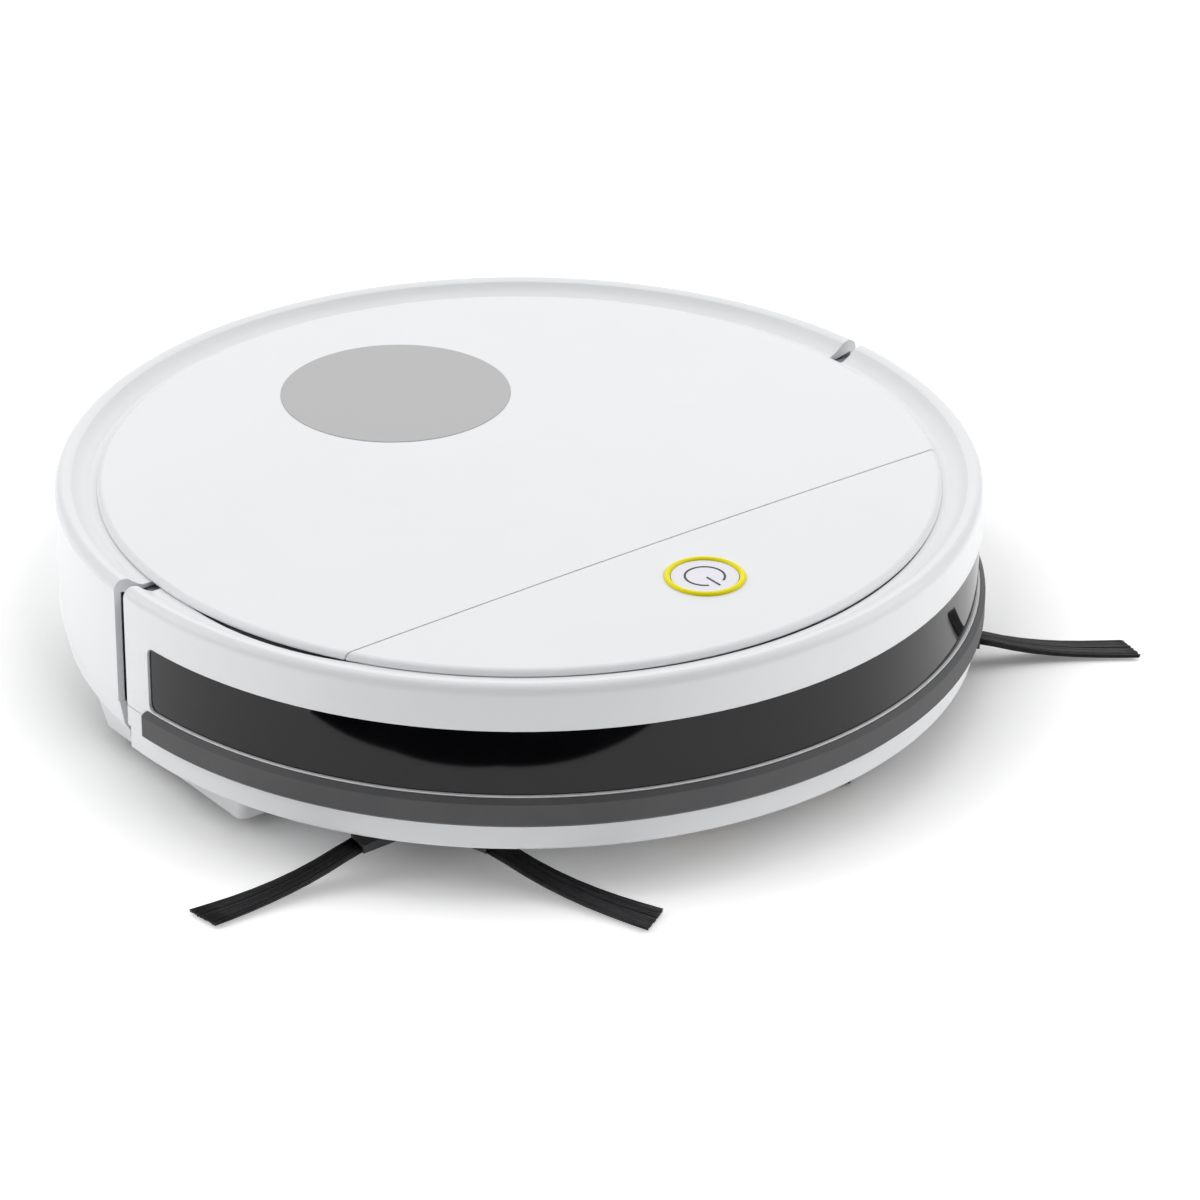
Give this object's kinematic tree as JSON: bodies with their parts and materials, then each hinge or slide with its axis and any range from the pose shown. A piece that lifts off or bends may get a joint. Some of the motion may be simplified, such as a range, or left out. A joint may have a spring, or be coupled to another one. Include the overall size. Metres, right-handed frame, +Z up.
{
  "type": "robotic floor cleaner",
  "caption": "Round low robotic floor cleaner with a sprung bumper, dark sensor window, flip-up lid over a dust bin, side brushes, drive wheels and a main roller brush.",
  "frame": {"origin": "on the floor, under the axis of the round body", "axes": "+X the way the machine drives forward, towards the bumper; +Y its left; +Z up"},
  "size_m": [0.3358, 0.3816, 0.08],
  "materials": {
    "white_shell": "fine satin",
    "grey_frame": "matt",
    "dark_plastic": "matt",
    "window_black": "high gloss, infrared dark",
    "strip_rubber": "matt rubber",
    "disc_grey": "satin",
    "button_white": "gloss",
    "ring_yellow": "gloss",
    "bristle": "nylon bristle",
    "tyre_rubber": "matt",
    "steel": "machined",
    "zinc": "zinc plated",
    "contact_metal": "polished",
    "bin_clear": "smoked",
    "filter_paper": "pleated",
    "board_green": "solder mask",
    "battery_wrap": "shrink wrap",
    "roller_blue": "soft fins"
  },
  "bodies": {
    "body": {"chassis": "white_shell", "front_frame": "grey_frame", "rear_shell": "white_shell", "jack_surround": "white_shell", "deck": "grey_frame", "lid_hinge_pin": "steel", "front_panel": "white_shell", "button_ring": "ring_yellow", "tact_switch": "dark_plastic", "roller_motor": "dark_plastic", "brush_guard": "dark_plastic", "dust_bin": "bin_clear", "dust_bin_cover": "grey_frame", "dust_bin_handle": "dark_plastic", "filter": "filter_paper", "fan_housing": "dark_plastic", "fan_motor": "steel", "battery_pack": "battery_wrap", "battery_door": "white_shell", "battery_door_screws": "zinc", "main_board": "board_green", "dc_jack": "dark_plastic", "speaker": "dark_plastic", "chassis_screws": "zinc", "bumper_spring_left": "steel", "bumper_spring_right": "steel", "wheel_fairing_left": "white_shell", "wheel_fairing_right": "white_shell", "side_brush_motor_left": "dark_plastic", "side_brush_motor_right": "dark_plastic", "charging_contact_left": "contact_metal", "charging_contact_right": "contact_metal", "cliff_window_left": "window_black", "cliff_window_right": "window_black", "bumper_switch_left": "dark_plastic", "bumper_switch_right": "dark_plastic"},
    "bumper": {"bumper_shell": "white_shell", "bumper_strip": "strip_rubber", "sensor_window": "window_black"},
    "lid": {"lid": "white_shell", "lid_disc": "disc_grey"},
    "power_button": {"power_button": "button_white"},
    "caster_fork": {"caster_fork": "dark_plastic"},
    "caster_wheel": {"caster_wheel": "dark_plastic"},
    "roller": {"roller_core": "dark_plastic", "roller_blades": "roller_blue"},
    "fan": {"fan_impeller": "grey_frame"},
    "suspension_left": {"suspension_arm_left": "dark_plastic", "drive_motor_left": "steel"},
    "wheel_left": {"wheel_tyre_left": "tyre_rubber", "wheel_rim_left": "dark_plastic"},
    "side_brush_left": {"side_brush_left": "dark_plastic", "side_brush_tufts_left": "bristle"},
    "suspension_right": {"suspension_arm_right": "dark_plastic", "drive_motor_right": "steel"},
    "wheel_right": {"wheel_tyre_right": "tyre_rubber", "wheel_rim_right": "dark_plastic"},
    "side_brush_right": {"side_brush_right": "dark_plastic", "side_brush_tufts_right": "bristle"}
  },
  "joints": [
    {"name": "bumper_slide", "type": "slide", "parent": "body", "child": "bumper", "axis": [1, 0, 0], "range_m": [-0.003, 0], "stiffness_N_per_m": 600, "springref_m": 0.004, "deforming": ["bumper_spring_left", "bumper_spring_right"]},
    {"name": "lid_hinge", "type": "hinge", "parent": "body", "child": "lid", "pos_m": [-0.14, 0, 0.076], "axis": [0, -1, 0], "range_deg": [0, 60]},
    {"name": "power_button_press", "type": "slide", "parent": "body", "child": "power_button", "axis": [0, 0, -1], "range_m": [0, 0.0004], "stiffness_N_per_m": 1000, "springref_m": -0.0012},
    {"name": "caster_swivel", "type": "hinge", "parent": "body", "child": "caster_fork", "pos_m": [0.11, 0, 0.036], "axis": [0, 0, 1], "continuous": true},
    {"name": "caster_roll", "type": "hinge", "parent": "caster_fork", "child": "caster_wheel", "pos_m": [0.103, 0, 0.0125], "axis": [0, 1, 0], "continuous": true},
    {"name": "roller_spin", "type": "hinge", "parent": "body", "child": "roller", "pos_m": [-0.052, 0, 0.0195], "axis": [0, 1, 0], "continuous": true},
    {"name": "fan_spin", "type": "hinge", "parent": "body", "child": "fan", "pos_m": [-0.098, 0.093, 0.038], "axis": [0, 0, 1], "continuous": true},
    {"name": "suspension_left", "type": "hinge", "parent": "body", "child": "suspension_left", "pos_m": [0.03, 0.1115, 0.046], "axis": [0, -1, 0], "range_deg": [0, 28], "stiffness_Nm_per_rad": 0.08, "springref_deg": 69.9},
    {"name": "wheel_left_spin", "type": "hinge", "parent": "suspension_left", "child": "wheel_left", "pos_m": [-0.0095, 0.131, 0.032], "axis": [0, 1, 0], "continuous": true},
    {"name": "side_brush_left_spin", "type": "hinge", "parent": "body", "child": "side_brush_left", "pos_m": [0.0885, 0.1055, 0.012], "axis": [0, 0, 1], "continuous": true, "deforming": ["side_brush_tufts_left"]},
    {"name": "suspension_right", "type": "hinge", "parent": "body", "child": "suspension_right", "pos_m": [0.03, -0.1115, 0.046], "axis": [0, -1, 0], "range_deg": [0, 28], "stiffness_Nm_per_rad": 0.08, "springref_deg": 69.9},
    {"name": "wheel_right_spin", "type": "hinge", "parent": "suspension_right", "child": "wheel_right", "pos_m": [-0.0095, -0.131, 0.032], "axis": [0, 1, 0], "continuous": true},
    {"name": "side_brush_right_spin", "type": "hinge", "parent": "body", "child": "side_brush_right", "pos_m": [0.0885, -0.1055, 0.012], "axis": [0, 0, 1], "continuous": true, "deforming": ["side_brush_tufts_right"]}
  ]
}
